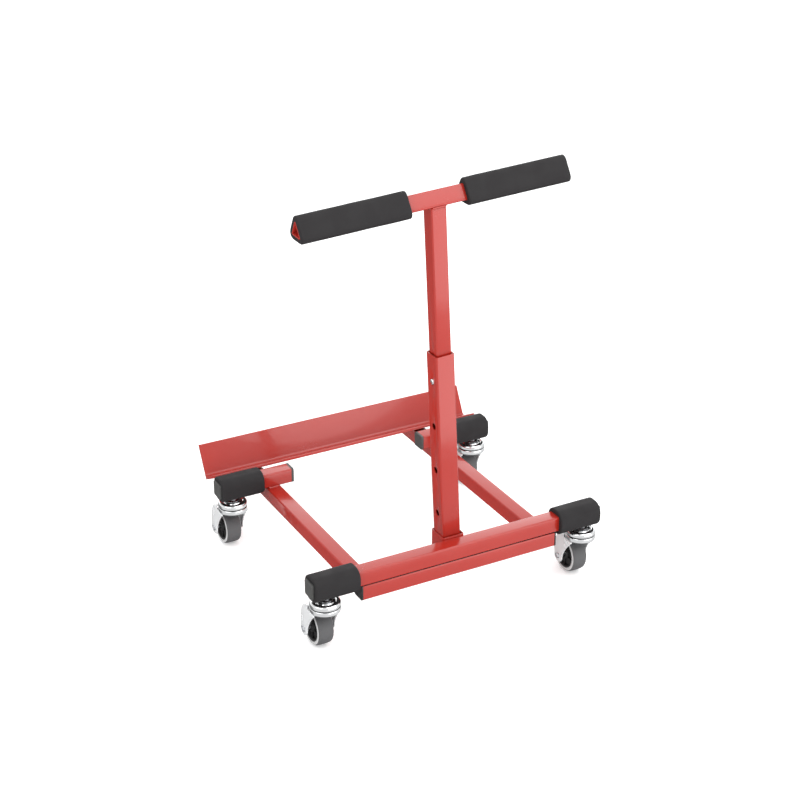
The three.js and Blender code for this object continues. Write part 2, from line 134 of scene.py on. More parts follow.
class DollySizes(bpy.types.PropertyGroup):
    """Sizes of details that the frame doesn't fix."""

    tube_corner: length("Tube corner", "Outside corner radius of the frame's square tube", 2.6)
    tube_wall: length("Tube wall", "Wall of the frame's square tube", 2)
    socket_wall: length("Socket wall", "Wall of the post's socket", 1.65)
    post_wall: length("Post wall", "Wall of the post", 1.7)
    cut_edge: length("Cut edge", "Rounding of a sawn or drilled edge under its paint", 0.35)
    hole_radius: length("Hole radius", "Radius of the post's height holes", 5.3)
    angle_thickness: length("Angle thickness", "Thickness of the angle iron", 5)
    angle_fillet: length("Angle fillet", "Rolled fillet inside the angle iron", 5)
    plug_tail: length("Plug tail", "How much of a plug lies inside its tube", 7.3)
    plug_lip: length("Plug lip", "How far a plug's flange stands out past its tube", 0.1)
    foam_reach: length("Foam reach", "How far a sleeve reaches past its tube's end", 1.2)
    foam_corner: length("Foam corner", "Corner radius of the foam sleeves", 17)
    foam_edge: length("Foam edge", "Rounding of the foam's cut ends", 2.4)
    foam_swell: length("Foam swell", "Unevenness of the foam's skin", 0.5)
    bar_side: length("Bar side", "Side of the triangular cross bar before its corners are rounded", 29.5)
    bar_corner: length("Bar corner", "Corner radius of the cross bar", 3)
    bar_wall: length("Bar wall", "Wall of the cross bar", 2)
    weld_radius: length("Weld radius", "Half the width of a weld bead", 2)


class DollyColours(bpy.types.PropertyGroup):
    """Colours of the finishes."""

    paint: colour("Paint", "Red powder coat", (0.38, 0.019, 0.011))
    foam: colour("Foam", "Charcoal foam", (0.019, 0.0175, 0.0185))
    plastic: colour("Plastic", "Black plugs and caps", (0.006, 0.006, 0.0065))
    # Not scuffed plastic: a lighter grey copy of the black plug plastic, painted light on the faces of these
    # plugs; its patches are random tone.
    sleeve_plug: colour("Sleeve plug", "Scuffed plugs in the foam sleeves' ends", (0.060, 0.060, 0.058))
    hub: colour("Hub", "Wheel hubs", (0.012, 0.012, 0.0125))
    tread: colour("Tread", "Grey wheel treads", (0.085, 0.085, 0.088))
    # Painted light: the treads' side faces are paler to stand in for the light falling on them.
    tread_side: colour("Tread side", "Paler side face of the wheel treads", (0.50, 0.50, 0.50))
    chrome: colour("Chrome", "Bright plating", (0.86, 0.87, 0.88))
    zinc: colour("Zinc", "Zinc plated fasteners", (0.62, 0.63, 0.65))
    spring: colour("Spring", "Oiled spring steel", (0.30, 0.31, 0.33))
    floor: colour("Floor", "Pale studio floor", (0.97, 0.97, 0.97))


# ---- shader maths ----


class Socket:
    """A node's output, or a number, that takes part in expressions."""

    def __init__(self, tree, link):
        self.tree = tree
        self.link = link

    def maths(self, operation, first, second):
        settings = {"operation": operation}
        return self.tree.add("ShaderNodeMath", settings, {0: first, 1: second}).output("Value")

    def __add__(self, other):
        return self.maths("ADD", self, other)

    def __mul__(self, other):
        return self.maths("MULTIPLY", self, other)

    def __rsub__(self, other):
        return self.maths("SUBTRACT", other, self)

    __radd__ = __add__
    __rmul__ = __mul__

    def ramp(self, low, high, to_low=0.0, to_high=1.0):
        """Runs smoothly from one value to another as this one passes between two limits."""
        settings = {"interpolation_type": "SMOOTHSTEP"}
        inputs = {"Value": self, "From Min": low, "From Max": high, "To Min": to_low, "To Max": to_high}
        return self.tree.add("ShaderNodeMapRange", settings, inputs).output("Result")


class Added:
    """A node that was added to a tree."""

    def __init__(self, tree, node):
        self.tree = tree
        self.node = node

    def output(self, name):
        return Socket(self.tree, self.node.outputs[name])


class Nodes:
    """The node tree of a material or a world."""

    def __init__(self, owner):
        owner.use_nodes = True
        self.tree = owner.node_tree
        self.tree.nodes.clear()

    def add(self, kind, settings=None, inputs=None):
        """Adds a node, sets its settings first, and then its sockets to values or links."""
        node = self.tree.nodes.new(kind)
        for key, value in (settings or {}).items():
            setattr(node, key, value)
        for key, value in (inputs or {}).items():
            if isinstance(value, Socket):
                self.tree.links.new(value.link, node.inputs[key])
            else:
                node.inputs[key].default_value = value
        return Added(self, node)

    def place(self):
        """Where a point of the surface is on the object, in metres."""
        return self.add("ShaderNodeTexCoord").output("Object")

    def stretched(self, place, scale):
        """The place with each axis scaled by its own amount."""
        settings = {"operation": "MULTIPLY"}
        return self.add("ShaderNodeVectorMath", settings, {0: place, 1: scale}).output("Vector")

    def noise(self, place, scale, detail=2.0, rough=0.5):
        inputs = {"Vector": place, "Scale": scale, "Detail": detail, "Roughness": rough}
        return self.add("ShaderNodeTexNoise", None, inputs).output("Fac")

    def cells(self, place, scale):
        inputs = {"Vector": place, "Scale": scale}
        return self.add("ShaderNodeTexVoronoi", {"feature": "F1"}, inputs).output("Distance")

    def mixed(self, factor, low, high):
        """A colour between two colours."""
        mix = self.add("ShaderNodeMix", {"data_type": "RGBA"}, {"Factor": factor})
        for place, value in ((6, low), (7, high)):
            if isinstance(value, Socket):
                self.tree.links.new(value.link, mix.node.inputs[place])
            else:
                mix.node.inputs[place].default_value = value
        return Socket(self, mix.node.outputs[2])

    def along(self, place, axis):
        """How far a place lies along an axis."""
        settings = {"operation": "DOT_PRODUCT"}
        return self.add("ShaderNodeVectorMath", settings, {0: place, 1: axis}).output("Value")

    def band(self, place, axis, level, half_width):
        """1 within half a width of a level along an axis, and 0 past one and a half."""
        at = self.along(place, axis)
        rise = at.ramp(level - 1.5 * half_width, level - 0.5 * half_width)
        fall = at.ramp(level + 0.5 * half_width, level + 1.5 * half_width, 1.0, 0.0)
        return rise * fall

    def bump(self, height, distance, strength=1.0, over=None):
        inputs = {"Height": height, "Distance": distance, "Strength": strength}
        if over:
            inputs["Normal"] = over
        return self.add("ShaderNodeBump", None, inputs).output("Normal")

    def surface(self, **inputs):
        """Ends a material in one Principled shader. A name's underscores stand for spaces."""
        named = {key.replace("_", " "): value for key, value in inputs.items()}
        shader = self.add("ShaderNodeBsdfPrincipled", None, named)
        self.add("ShaderNodeOutputMaterial", None, {"Surface": shader.output("BSDF")})


def shade(rgb, factor):
    """A colour, made lighter or darker, with its alpha."""
    return (*(min(1.0, channel * factor) for channel in rgb), 1.0)


# ---- finishes ----


def red_paint(nodes, colours):
    place = nodes.place()
    drift = nodes.noise(place, 9.0, 3.0)
    speckle = nodes.noise(place, 900.0, 2.0)
    flow = nodes.noise(place, 55.0, 1.0)
    peel = nodes.noise(place, 260.0, 1.0)
    base = nodes.mixed(drift, shade(colours.paint, 0.94), shade(colours.paint, 1.06))
    base = nodes.mixed(speckle.ramp(0.62, 0.8) * 0.25, base, shade(colours.paint, 1.3))
    # Painted shade: a dark band along the seam between the two front beams, where their rounded corners leave a
    # shaded groove.
    seam = nodes.band(place, UP, BEAM_SEAM[Z], 0.7 * MM)
    in_front = nodes.along(place, Vector((0, 1, 0))).ramp(BEAM_SEAM[Y], BEAM_SEAM[Y] + 1 * MM, 1.0, 0.0)
    base = nodes.mixed(seam * in_front * 0.92, base, shade(colours.paint, 0.04))
    flowed = nodes.bump(flow, 0.00022)
    peeled = nodes.bump(peel, 0.00003, over=flowed)
    rough = drift.ramp(0.3, 0.7, 0.17, 0.25) + speckle * 0.04
    nodes.surface(
        Base_Color=base,
        Roughness=rough,
        Metallic=0.0,
        IOR=1.5,
        Coat_Weight=0.35,
        Coat_Roughness=0.06,
        Normal=peeled,
    )


def foam(nodes, colours):
    place = nodes.place()
    blotch = nodes.noise(place, 38.0, 4.0)
    skin = nodes.noise(place, 700.0, 3.0, 0.6)
    pores = nodes.cells(place, 1400.0)
    base = nodes.mixed(blotch, shade(colours.foam, 0.82), shade(colours.foam, 1.25))
    # The darker dots paint shade in the foam's pores.
    base = nodes.mixed(pores.ramp(0.0, 0.28, 0.5, 0.0), base, shade(colours.foam, 0.4))
    dimpled = nodes.bump(pores, 0.00012, 0.6)
    skinned = nodes.bump(skin, 0.0001, 0.6, over=dimpled)
    rough = blotch.ramp(0.3, 0.7, 0.62, 0.78)
    nodes.surface(Base_Color=base, Roughness=rough, Metallic=0.0, Specular_IOR_Level=0.25, Normal=skinned)


def black_plastic(nodes, colours):
    place = nodes.place()
    grain = nodes.noise(place, 1100.0, 3.0)
    flow = nodes.noise(place, 90.0, 2.0)
    base = nodes.mixed(flow, shade(colours.plastic, 0.85), shade(colours.plastic, 1.2))
    rough = flow.ramp(0.3, 0.7, 0.34, 0.46)
    pebbled = nodes.bump(grain, 0.00005, 0.5)
    nodes.surface(Base_Color=base, Roughness=rough, Metallic=0.0, IOR=1.5, Normal=pebbled)


# A lighter grey copy of the black plug plastic: painted light on the plug faces, with random patches of tone.
def sleeve_plug(nodes, colours):
    place = nodes.place()
    grain = nodes.noise(place, 1000.0, 3.0)
    scuff = nodes.noise(place, 110.0, 4.0)
    base = nodes.mixed(scuff, shade(colours.sleeve_plug, 0.8), shade(colours.sleeve_plug, 1.25))
    rough = scuff.ramp(0.3, 0.7, 0.4, 0.55)
    scratched = nodes.bump(grain, 0.00006, 0.6)
    nodes.surface(Base_Color=base, Roughness=rough, Metallic=0.0, IOR=1.5, Normal=scratched)


def hub_plastic(nodes, colours):
    place = nodes.place()
    grain = nodes.noise(place, 900.0, 3.0)
    dust = nodes.noise(place, 60.0, 4.0)
    base = nodes.mixed(dust, shade(colours.hub, 0.8), shade(colours.hub, 1.5))
    rough = dust.ramp(0.3, 0.7, 0.42, 0.6)
    nodes.surface(Base_Color=base, Roughness=rough, IOR=1.5, Normal=nodes.bump(grain, 0.00006, 0.5))


def tread_rubber(nodes, colours):
    place = nodes.place()
    grain = nodes.noise(place, 800.0, 4.0, 0.6)
    patches = nodes.noise(place, 70.0, 4.0)
    base = nodes.mixed(patches, shade(colours.tread, 0.84), shade(colours.tread, 1.18))
    base = nodes.mixed(grain.ramp(0.6, 0.8) * 0.4, base, shade(colours.tread, 1.7))
    rough = patches.ramp(0.3, 0.7, 0.5, 0.66)
    nodes.surface(Base_Color=base, Roughness=rough, IOR=1.5, Normal=nodes.bump(grain, 0.0001, 0.6))


def chrome(nodes, colours):
    place = nodes.place()
    smudge = nodes.noise(place, 45.0, 4.0)
    grain = nodes.noise(place, 600.0, 2.0)
    base = nodes.mixed(smudge, shade(colours.chrome, 0.94), shade(colours.chrome, 1.0))
    # Painted shade darkens the groove between the two raceways, and the turn under the lower one.
    groove_shade = nodes.band(place, UP, RACE_SEAM, 0.9 * MM)
    foot = nodes.band(place, UP, RACE_FOOT, 0.9 * MM)
    base = nodes.mixed(groove_shade * 0.95, base, shade(colours.chrome, 0.02))
    base = nodes.mixed(foot * 0.7, base, shade(colours.chrome, 0.05))
    rough = smudge.ramp(0.35, 0.75, 0.04, 0.12) + grain * 0.02
    press = nodes.noise(place, 120.0, 1.0)
    nodes.surface(Base_Color=base, Roughness=rough, Metallic=1.0, Normal=nodes.bump(press, 0.00004))


def pressed_chrome(nodes, colours):
    place = nodes.place()
    smudge = nodes.noise(place, 40.0, 4.0)
    draw = nodes.noise(place, 90.0, 2.0)
    base = nodes.mixed(smudge, shade(colours.chrome, 0.95), shade(colours.chrome, 1.08))
    rough = smudge.ramp(0.35, 0.75, 0.18, 0.3)
    nodes.surface(Base_Color=base, Roughness=rough, Metallic=0.35, IOR=1.6, Normal=nodes.bump(draw, 0.00012))


# The treads' side faces: a paler copy of the tread colour, painted light standing in for the light that falls on
# them.
def tread_side(nodes, colours):
    place = nodes.place()
    grain = nodes.noise(place, 700.0, 3.0)
    patches = nodes.noise(place, 80.0, 4.0)
    base = nodes.mixed(patches, shade(colours.tread_side, 0.82), shade(colours.tread_side, 1.12))
    rough = patches.ramp(0.3, 0.7, 0.46, 0.62)
    nodes.surface(Base_Color=base, Roughness=rough, IOR=1.5, Normal=nodes.bump(grain, 0.00008, 0.6))


def zinc(nodes, colours):
    place = nodes.place()
    bloom = nodes.noise(place, 160.0, 4.0)
    grain = nodes.noise(place, 1200.0, 2.0)
    base = nodes.mixed(bloom, shade(colours.zinc, 0.8), shade(colours.zinc, 1.1))
    rough = bloom.ramp(0.3, 0.7, 0.2, 0.36)
    nodes.surface(Base_Color=base, Roughness=rough, Metallic=1.0, Normal=nodes.bump(grain, 0.00003))


def spring_steel(nodes, colours):
    place = nodes.place()
    brushed = nodes.noise(nodes.stretched(place, (1.0, 40.0, 1.0)), 60.0, 4.0)
    base = nodes.mixed(brushed, shade(colours.spring, 0.7), shade(colours.spring, 1.2))
    rough = brushed.ramp(0.3, 0.7, 0.26, 0.42)
    nodes.surface(Base_Color=base, Roughness=rough, Metallic=1.0, Normal=nodes.bump(brushed, 0.00003))


def pale_floor(nodes, colours):
    place = nodes.place()
    mottle = nodes.noise(place, 3.0, 3.0)
    base = nodes.mixed(mottle, shade(colours.floor, 0.99), shade(colours.floor, 1.01))
    rough = mottle.ramp(0.3, 0.7, 0.88, 0.94)
    nodes.surface(Base_Color=base, Roughness=rough, Emission_Color=(1, 1, 1, 1), Emission_Strength=0.3)


FINISHES = {
    "red_paint": red_paint,
    "sleeve_foam": foam,
    "grip_foam": foam,
    "black_plastic": black_plastic,
    "sleeve_plug": sleeve_plug,
    "chrome": chrome,
    "pressed_chrome": pressed_chrome,
    "tread_side": tread_side,
    "zinc": zinc,
    "spring_steel": spring_steel,
    "wheel_tread": tread_rubber,
    "wheel_hub": hub_plastic,
    "floor": pale_floor,
}


def finish_of(slot):
    """The material of a slot, made when it is first asked for."""
    name = slot + "_finish"
    made = bpy.data.materials.get(name)
    if not made:
        made = bpy.data.materials.new(name)
        FINISHES[slot](Nodes(made), bpy.context.scene.dolly_colours)
    return made


# ---- mesh work ----

SAME_POINT = 0.01 * MM  # drawn points closer than this are one
OVERSHOOT = 10 * MM  # how far a cutter stands out of what it cuts
FOAM_GAP = 0.2 * MM  # foam to the tube inside it
FOAM_LOOPS = 14  # stretches along a foam piece
NUT_RECESS = 15 * MM  # radius of a sleeve's opening for the caster's nut

def only(*objects):
    """Selects these objects alone and makes the first one active."""
    bpy.ops.object.select_all(action="DESELECT")
    for obj in objects:
        obj.select_set(True)
    bpy.context.view_layer.objects.active = objects[0]


@contextmanager
def editing(obj):
    """Edit mode on one object, with nothing selected."""
    only(obj)
    bpy.ops.object.mode_set(mode="EDIT")
    bpy.ops.mesh.select_all(action="DESELECT")
    yield
    bpy.ops.object.mode_set(mode="OBJECT")


def pick(obj, kind, test):
    """In edit mode, selects the vertices, edges or faces that pass a test, and nothing else."""
    bpy.ops.mesh.select_mode(type=kind)
    bpy.ops.mesh.select_all(action="DESELECT")
    mesh = bmesh.from_edit_mesh(obj.data)
    for item in {"VERT": mesh.verts, "EDGE": mesh.edges, "FACE": mesh.faces}[kind]:
        if test(item):
            item.select_set(True)
    mesh.select_flush_mode()
    bmesh.update_edit_mesh(obj.data)


def runs_along(axis):
    return lambda edge: abs((edge.verts[0].co - edge.verts[1].co).normalized()[axis]) > 0.99


def faces_along(axis, side=0):
    if side:
        return lambda face: face.normal[axis] * side > 0.99
    return lambda face: abs(face.normal[axis]) > 0.99


def started(name):
    """Names the primitive that was just added and puts its place into its mesh."""
    obj = bpy.context.active_object
    obj.name = name
    obj.data.name = name
    bpy.ops.object.transform_apply(location=True, rotation=True, scale=True)
    return obj


def block(name, low, high):
    bpy.ops.object.select_all(action="DESELECT")
    bpy.ops.mesh.primitive_cube_add(size=1, location=(low + high) / 2, scale=high - low)
    return started(name)


def round_bar(name, radius, depth, location, rotation=(0, 0, 0), sides=40):
    bpy.ops.object.select_all(action="DESELECT")
    bpy.ops.mesh.primitive_cylinder_add(
        vertices=sides, radius=radius, depth=depth, location=location, rotation=rotation
    )
    return started(name)


def apply_modifier(obj, kind, **settings):
    only(obj)
    modifier = obj.modifiers.new(kind.title(), kind)
    for key, value in settings.items():
        setattr(modifier, key, value)
    bpy.ops.object.modifier_apply(modifier=modifier.name)


def cut(obj, cutter):
    apply_modifier(obj, "BOOLEAN", operation="DIFFERENCE", object=cutter, solver="EXACT")
    bpy.data.objects.remove(cutter)


def joined(first, *others):
    """Puts separate shells into one mesh."""
    only(first, *others)
    bpy.ops.object.join()
    return first


def soften(obj, width, sharper_than=40, segments=2):
    """Rounds the edges that are sharper than an angle."""
    limit = math.radians(sharper_than)
    apply_modifier(obj, "BEVEL", width=width, segments=segments, limit_method="ANGLE", angle_limit=limit)


def moved(obj, matrix):
    only(obj)
    obj.matrix_world = matrix @ obj.matrix_world
    bpy.ops.object.transform_apply(location=True, rotation=True, scale=True)
    return obj


def copied(obj, name, matrix):
    """A copy with its own mesh, moved into place."""
    only(obj)
    bpy.ops.object.duplicate(linked=False)
    copy = bpy.context.active_object
    copy.name = name
    copy.data.name = name
    return moved(copy, matrix)


def chain(name, points):
    """A run of edges through points, drawn by extruding one vertex."""
    bpy.ops.object.select_all(action="DESELECT")
    bpy.ops.mesh.primitive_plane_add(size=1)
    obj = started(name)
    with editing(obj):
        bpy.ops.mesh.select_all(action="SELECT")
        bpy.ops.mesh.merge(type="CENTER")
        bpy.ops.mesh.select_mode(type="VERT")
        bpy.ops.mesh.select_all(action="SELECT")
        bpy.ops.transform.translate(value=points[0])
        for start, end in zip(points, points[1:]):
            bpy.ops.mesh.extrude_region_move(TRANSFORM_OT_translate={"value": end - start})
    return obj


def turned(name, profile, steps=56):
    """A closed turned piece about Z from [radius, height] points."""
    obj = chain(name, [Vector((radius, 0, height)) for radius, height in profile])
    with editing(obj):
        bpy.ops.mesh.select_all(action="SELECT")
        bpy.ops.mesh.spin(steps=steps, angle=2 * math.pi, center=(0, 0, 0), axis=(0, 0, 1))
        bpy.ops.mesh.select_all(action="SELECT")
        bpy.ops.mesh.remove_doubles(threshold=SAME_POINT)
        bpy.ops.mesh.normals_make_consistent(inside=False)
    return obj


def plate(name, outline, thickness):
    """A flat plate in the YZ plane from [y, z] points, from x = 0 to its thickness."""
    points = [Vector((0, y, z)) for y, z in outline]
    obj = chain(name, points + points[:1])
    with editing(obj):
        bpy.ops.mesh.select_all(action="SELECT")
        bpy.ops.mesh.remove_doubles(threshold=SAME_POINT)
        bpy.ops.mesh.edge_face_add()
        bpy.ops.mesh.extrude_region_move(TRANSFORM_OT_translate={"value": (thickness, 0, 0)})
        bpy.ops.mesh.select_all(action="SELECT")
        bpy.ops.mesh.normals_make_consistent(inside=False)
    return obj


def arc(centre, radius, start, end, steps):
    """Points on an arc between two angles in degrees."""
    angles = (math.radians(start + (end - start) * i / steps) for i in range(steps + 1))
    return [(centre[0] + radius * math.cos(a), centre[1] + radius * math.sin(a)) for a in angles]


def curve(a, b, c, d, steps):
    """Points on a cubic curve from a to d, without its ends."""
    points = []
    for i in range(1, steps):
        t = i / steps
        weights = ((1 - t) ** 3, 3 * t * (1 - t) ** 2, 3 * t * t * (1 - t), t**3)
        points.append(tuple(sum(w * p[k] for w, p in zip(weights, (a, b, c, d))) for k in (0, 1)))
    return points


def finished(obj, slot, *nodes, body=None, angle=35, look=None):
    """Smooths a piece, gives it its finish, ties it to its body, and hides the nodes it stands for."""
    with editing(obj):
        bpy.ops.mesh.select_all(action="SELECT")
        bpy.ops.mesh.remove_doubles(threshold=0.001 * MM)
    bpy.ops.object.shade_smooth_by_angle(angle=math.radians(angle))
    obj.data.materials.clear()
    obj.data.materials.append(finish_of(look or slot))
    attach(obj, body or BODY_OF[nodes[0]])
    if nodes:
        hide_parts(*nodes)
    return obj


# ---- frame ----


def square_tube(name, low, high, axis, wall, corner, holes=()):
    """A square tube, open at both ends, with round holes in its left wall."""
    sizes = bpy.context.scene.dolly_sizes
    tube = block(name, low, high)
    with editing(tube):
        pick(tube, "EDGE", runs_along(axis))
        bpy.ops.mesh.bevel(offset=corner, offset_type="OFFSET", segments=6, affect="EDGES")
        pick(tube, "FACE", faces_along(axis))
        bpy.ops.mesh.delete(type="ONLY_FACE")
    apply_modifier(tube, "SOLIDIFY", thickness=wall, offset=-1, use_even_offset=True)
    for centre in holes:
        cut(tube, round_bar("drill", sizes.hole_radius, high[X] - low[X], centre, (0, math.pi / 2, 0)))
    soften(tube, sizes.cut_edge)
    return tube


def make_frame_tubes(sizes):
    runs = {"front_beam_upper": X, "front_beam_lower": X}
    runs.update({f"side_rail_{side}": Y for side in SIDES})
    runs.update({f"rear_stub_{side}": X for side in SIDES})
    for node, axis in runs.items():
        low, high = box_in(node)
        tube = square_tube(node + "_tube", low, high, axis, sizes.tube_wall, sizes.tube_corner)
        finished(tube, "red_paint", node)


def make_angle_iron(sizes):
    """The rear angle iron: its corner stands on the rails, its back leg leans back."""
    low, high = box_in("rear_angle", TILT)
    thick = sizes.angle_thickness
    fillet = sizes.angle_fillet
    toe = 1.5 * MM
    outline = [(high[Y], low[Z])]
    outline += [(low[Y], low[Z])]
    outline += arc((low[Y] + toe, low[Z] + thick - toe), toe, 180, 90, 4)
    outline += arc((high[Y] - thick - fillet, low[Z] + thick + fillet), fillet, -90, 0, 7)
    outline += arc((high[Y] - thick + toe, high[Z] - toe), toe, 180, 90, 4)
    outline += [(high[Y], high[Z])]
    bar = plate("angle_iron", outline, high[X] - low[X])
    moved(bar, Matrix.Translation((low[X], 0, 0)))
    soften(bar, 0.5 * MM, segments=3)
    moved(bar, TILT.to_4x4())
    finished(bar, "red_paint", "rear_angle")


def make_plugs(sizes):
    """Square plugs: a flange with a soft edge and a sunk face, and a tail inside the tube."""
    plugs = []
    for side, way in zip(SIDES, (-1, 1)):
        plugs += [(f"{row}_plug_{side}", X, way) for row in ("front", "rear")]
        plugs += [(f"lower_cap_{side}", X, way), (f"stub_cap_{side}", X, -way), (f"rail_cap_{side}", Y, 1)]
    for node, axis, way in plugs:
        low, high = box_in(node)
        # The flange starts at the tube's end and stands a hair wider than the tube.
        tube_end = sizes.plug_tail - 0.3 * MM
        if way > 0:
            low[axis] += tube_end
        else:
            high[axis] -= tube_end
        for across in {X, Y, Z} - {axis}:
            low[across] -= sizes.plug_lip
            high[across] += sizes.plug_lip
        plug = block(node + "_moulding", low, high)
        with editing(plug):
            pick(plug, "EDGE", runs_along(axis))
            bpy.ops.mesh.bevel(offset=sizes.tube_corner, offset_type="OFFSET", segments=6, affect="EDGES")
            pick(plug, "FACE", faces_along(axis, -way))
            bpy.ops.mesh.inset(thickness=sizes.tube_wall + sizes.plug_lip + 0.3 * MM)
            tail = Vector((0, 0, 0))
            tail[axis] = -way * tube_end
            bpy.ops.mesh.extrude_region_move(TRANSFORM_OT_translate={"value": tail})
            pick(plug, "FACE", faces_along(axis, way))
            bpy.ops.mesh.inset(thickness=1.6 * MM, depth=-0.25 * MM)
        soften(plug, 0.3 * MM)
        # These plugs take the lighter grey finish, which paints light on their faces.
        look = "sleeve_plug" if "_plug_" in node or "stub_cap" in node else None
        finished(plug, "black_plastic", node, look=look)


# ---- foam ----


def foam_pad(blank, axis, low, high, cutters):
    """Turns a rounded blank into foam: an uneven skin, soft ends, and openings cut through."""
    sizes = bpy.context.scene.dolly_sizes

    def rings_an_end(edge):
        ends = (low[axis], high[axis])
        return any(all(abs(v.co[axis] - end) < SAME_POINT for v in edge.verts) for end in ends)

    with editing(blank):
        pick(blank, "EDGE", rings_an_end)
        bpy.ops.mesh.bevel(offset=sizes.foam_edge, offset_type="OFFSET", segments=4, affect="EDGES")
        normal = Vector((0, 0, 0))
        normal[axis] = 1
        for i in range(1, FOAM_LOOPS):
            at = low.lerp(high, i / FOAM_LOOPS)
            bpy.ops.mesh.select_all(action="SELECT")
            bpy.ops.mesh.bisect(plane_co=at, plane_no=normal)
    swell = bpy.data.textures.get("foam_swell") or bpy.data.textures.new("foam_swell", "CLOUDS")
    swell.noise_scale = 0.03
    amount = sizes.foam_swell
    apply_modifier(blank, "DISPLACE", texture=swell, strength=amount, mid_level=1.0, texture_coords="LOCAL")
    for cutter in cutters:
        cut(blank, cutter)
    return blank


def make_foam_sleeves(sizes):
    """Four sleeves round the tube ends, open below for the caster nuts."""
    tubes = {"front_left": "front_beam_upper", "front_right": "front_beam_upper"}
    tubes.update({"rear_left": "rear_stub_left", "rear_right": "rear_stub_right"})
    for corner, tube in tubes.items():
        node = "foam_sleeve_" + corner
        low, high = box_in(node)
        if corner.endswith("left"):
            low[X] -= sizes.foam_reach
        else:
            high[X] += sizes.foam_reach
        blank = block(node + "_pad", low, high)
        with editing(blank):
            pick(blank, "EDGE", runs_along(X))
            bpy.ops.mesh.bevel(offset=sizes.foam_corner, offset_type="OFFSET", segments=14, affect="EDGES")
        inner_low, inner_high = box_in(tube)
        gap = Vector((0, FOAM_GAP, FOAM_GAP))
        inner_low = Vector((low[X] - OVERSHOOT, inner_low[Y], inner_low[Z])) - gap
        inner_high = Vector((high[X] + OVERSHOOT, inner_high[Y], inner_high[Z])) + gap
        bore = block("bore", inner_low, inner_high)
        with editing(bore):
            pick(bore, "EDGE", runs_along(X))
            bpy.ops.mesh.bevel(offset=sizes.tube_corner, offset_type="OFFSET", segments=3, affect="EDGES")
        stem = Vector(joint("swivel_" + corner)["pos_m"])
        recess = round_bar("recess", NUT_RECESS, 2 * OVERSHOOT, (stem[X], stem[Y], low[Z]))
        pad = foam_pad(blank, X, low, high, [bore, recess])
        finished(pad, "sleeve_foam", node)


def triangle_bar(name, side, corner, ends, centre, segments=8):
    """A three-sided bar along X, point up, with rounded corners, about a [y, z] centre."""
    start, end = ends
    middle = ((start + end) / 2, *centre)
    along_x = (math.pi / 2, 0, math.pi / 2)
    bar = round_bar(name, side / math.sqrt(3), end - start, middle, along_x, sides=3)
    with editing(bar):
        pick(bar, "EDGE", runs_along(X))
        back = corner / math.tan(math.radians(30))
        bpy.ops.mesh.bevel(offset=back, offset_type="OFFSET", segments=segments, affect="EDGES")
    return bar


def make_cross_bar(sizes):
    """The triangular bar and its two foam grips."""
    low, high = box_in("cross_bar", LEAN)
    inner = sizes.bar_side / (2 * math.sqrt(3))
    centre = ((low[Y] + high[Y]) / 2, low[Z] + inner)
    bar = triangle_bar("cross_bar_tube", sizes.bar_side, sizes.bar_corner, (low[X], high[X]), centre)
    with editing(bar):
        pick(bar, "FACE", faces_along(X))
        bpy.ops.mesh.delete(type="ONLY_FACE")
    apply_modifier(bar, "SOLIDIFY", thickness=sizes.bar_wall, offset=-1, use_even_offset=True)
    soften(bar, sizes.cut_edge)
    moved(bar, LEAN.to_4x4())
    finished(bar, "red_paint", "cross_bar")
    for side in SIDES:
        node = "foam_grip_" + side
        pad_low, pad_high = box_in(node, LEAN)
        foam_thick = low[Z] - pad_low[Z]
        skin = sizes.bar_side + foam_thick * 2 * math.sqrt(3)
        round_off = sizes.bar_corner + foam_thick
        blank = triangle_bar(node + "_pad", skin, round_off, (pad_low[X], pad_high[X]), centre, 12)
        bore_side = sizes.bar_side + FOAM_GAP * 2 * math.sqrt(3)
        bore_ends = (pad_low[X] - OVERSHOOT, pad_high[X] + OVERSHOOT)
        bore = triangle_bar("bore", bore_side, sizes.bar_corner + FOAM_GAP, bore_ends, centre)
        pad = foam_pad(blank, X, pad_low, pad_high, [bore])
        moved(pad, LEAN.to_4x4())
        finished(pad, "grip_foam", node)


# ---- casters ----

STEM_RADIUS = 4.8 * MM
THREAD = 0.5 * MM  # half the thread's pitch
THREAD_DEPTH = 0.45 * MM
NUT_ACROSS = 17 * MM  # across the hexagon's flats
LEG_THICKNESS = 2.4 * MM
LEG_FRONT = -9 * MM  # front edge of the legs, from the stem's axis
COWL_START = 14 * MM  # front edge of the cowl, from the stem's axis
COWL_END = 38 * MM  # lower edge of the cowl, above the axle
HUB_RIBS = 5

def caster_centre(corner):
    place = Vector(joint("swivel_" + corner)["pos_m"])
    return Vector((place[X], place[Y], 0))


def copy_to_corners(model, name, slot, nodes, look=None, painted_light_side_look=None, race_look=None):
    """Copies a piece made for the first corner to all four, and removes the model.

    Faces that look along the axle take the side look, if given, which on the treads is a paler finish of painted
    light on their sides. Those of the raceway take race_look, if given.
    """
    first = caster_centre(CORNERS[0])
    for corner in CORNERS:
        shift = Matrix.Translation(caster_centre(corner) - first)
        piece = copied(model, f"{name}_{corner}", shift)
        finished(piece, slot, *(f"{node}_{corner}" for node in nodes), look=look)
        if painted_light_side_look:
            piece.data.materials.append(finish_of(painted_light_side_look))
            for face in piece.data.polygons:
                face.material_index = int(abs(face.normal[X]) > 0.8)
        if race_look:
            piece.data.materials.append(finish_of(race_look))
            for face in piece.data.polygons:
                face.material_index = int(face.index < model["race_faces"])
    bpy.data.objects.remove(model)


